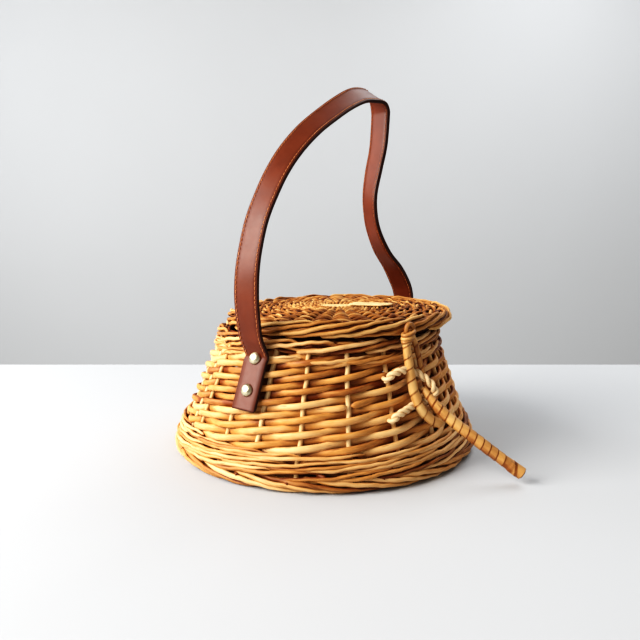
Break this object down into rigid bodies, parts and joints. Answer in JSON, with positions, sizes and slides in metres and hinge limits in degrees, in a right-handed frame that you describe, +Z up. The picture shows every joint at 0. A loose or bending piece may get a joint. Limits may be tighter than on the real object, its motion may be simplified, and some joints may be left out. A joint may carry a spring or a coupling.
{
  "type": "wicker basket",
  "caption": "Round willow basket with tapering sides, a hinged woven lid, a hasp and peg clasp and a riveted leather strap handle.",
  "frame": {"origin": "centre of the underside of the base, at ground level", "axes": "+Z up through the basket, the clasp faces -Y and the lid hinge is at +Y"},
  "size_m": [0.28, 0.3256, 0.32],
  "materials": {
    "willow": "satin",
    "willow_stake": "matte",
    "willow_lid": "matte",
    "cane_wrap": "satin",
    "noose_willow": "satin",
    "leather": "satin",
    "rivet_metal": "polished"
  },
  "bodies": {
    "root": {"base_weave": "willow", "base_slath_lower": "willow_stake", "base_slath_upper": "willow_stake", "foot_border": "willow", "bottom_wale": "willow", "randing_outer": "willow", "randing_inner": "willow", "top_wale": "willow", "top_border": "willow", "hinge_loop_left": "willow_stake", "hinge_loop_right": "willow_stake", "noose": "noose_willow", "stake_01": "willow_stake", "stake_02": "willow_stake", "stake_03": "willow_stake", "stake_04": "willow_stake", "stake_05": "willow_stake", "stake_06": "willow_stake", "stake_07": "willow_stake", "stake_08": "willow_stake", "stake_09": "willow_stake", "stake_10": "willow_stake", "stake_11": "willow_stake", "stake_12": "willow_stake", "stake_13": "willow_stake", "stake_14": "willow_stake", "stake_15": "willow_stake", "stake_16": "willow_stake", "stake_17": "willow_stake", "stake_18": "willow_stake", "stake_19": "willow_stake", "stake_20": "willow_stake", "stake_21": "willow_stake", "stake_22": "willow_stake", "stake_23": "willow_stake", "tab_near_outer": "leather", "tab_near_inner": "leather", "tab_far_outer": "leather", "tab_far_inner": "leather", "rivet_near_upper": "rivet_metal", "rivet_near_lower": "rivet_metal", "rivet_far_upper": "rivet_metal", "rivet_far_lower": "rivet_metal", "washer_near_upper": "rivet_metal", "washer_near_lower": "rivet_metal", "washer_far_upper": "rivet_metal", "washer_far_lower": "rivet_metal"},
    "lid": {"lid_border": "willow_lid", "lid_weave": "willow_lid", "lid_slath_lower": "cane_wrap", "lid_slath_upper": "cane_wrap", "hinge_rod": "willow_stake", "hasp_ring": "cane_wrap"},
    "hasp": {"hasp_loop": "cane_wrap"},
    "peg": {"peg_core": "willow_stake", "peg_wrap": "cane_wrap"},
    "handle": {"strap_near_outer": "leather", "strap_near_inner": "leather", "strap_far_outer": "leather", "strap_far_inner": "leather"}
  },
  "joints": [
    {"name": "lid_hinge", "type": "hinge", "parent": "root", "child": "lid", "pos_m": [0.0112, 0.0998, 0.1138], "axis": [-1, 0, 0], "range_deg": [0, 105], "deforming": ["noose", "strap_far_outer", "strap_far_inner"]},
    {"name": "hasp_swing", "type": "hinge", "parent": "lid", "child": "hasp", "pos_m": [0.00975, -0.1182, 0.1188], "axis": [-1, 0, 0], "range_deg": [0, 140], "deforming": ["noose"]},
    {"name": "peg_slide", "type": "slide", "parent": "root", "child": "peg", "axis": [0.472, -0.6208, -0.6259], "range_m": [0, 0.06]},
    {"name": "handle_swing", "type": "hinge", "parent": "root", "child": "handle", "pos_m": [0.00766, -0.01231, 0.111], "axis": [0.9623, 0.2721, 0], "range_deg": [-25, 50]}
  ]
}
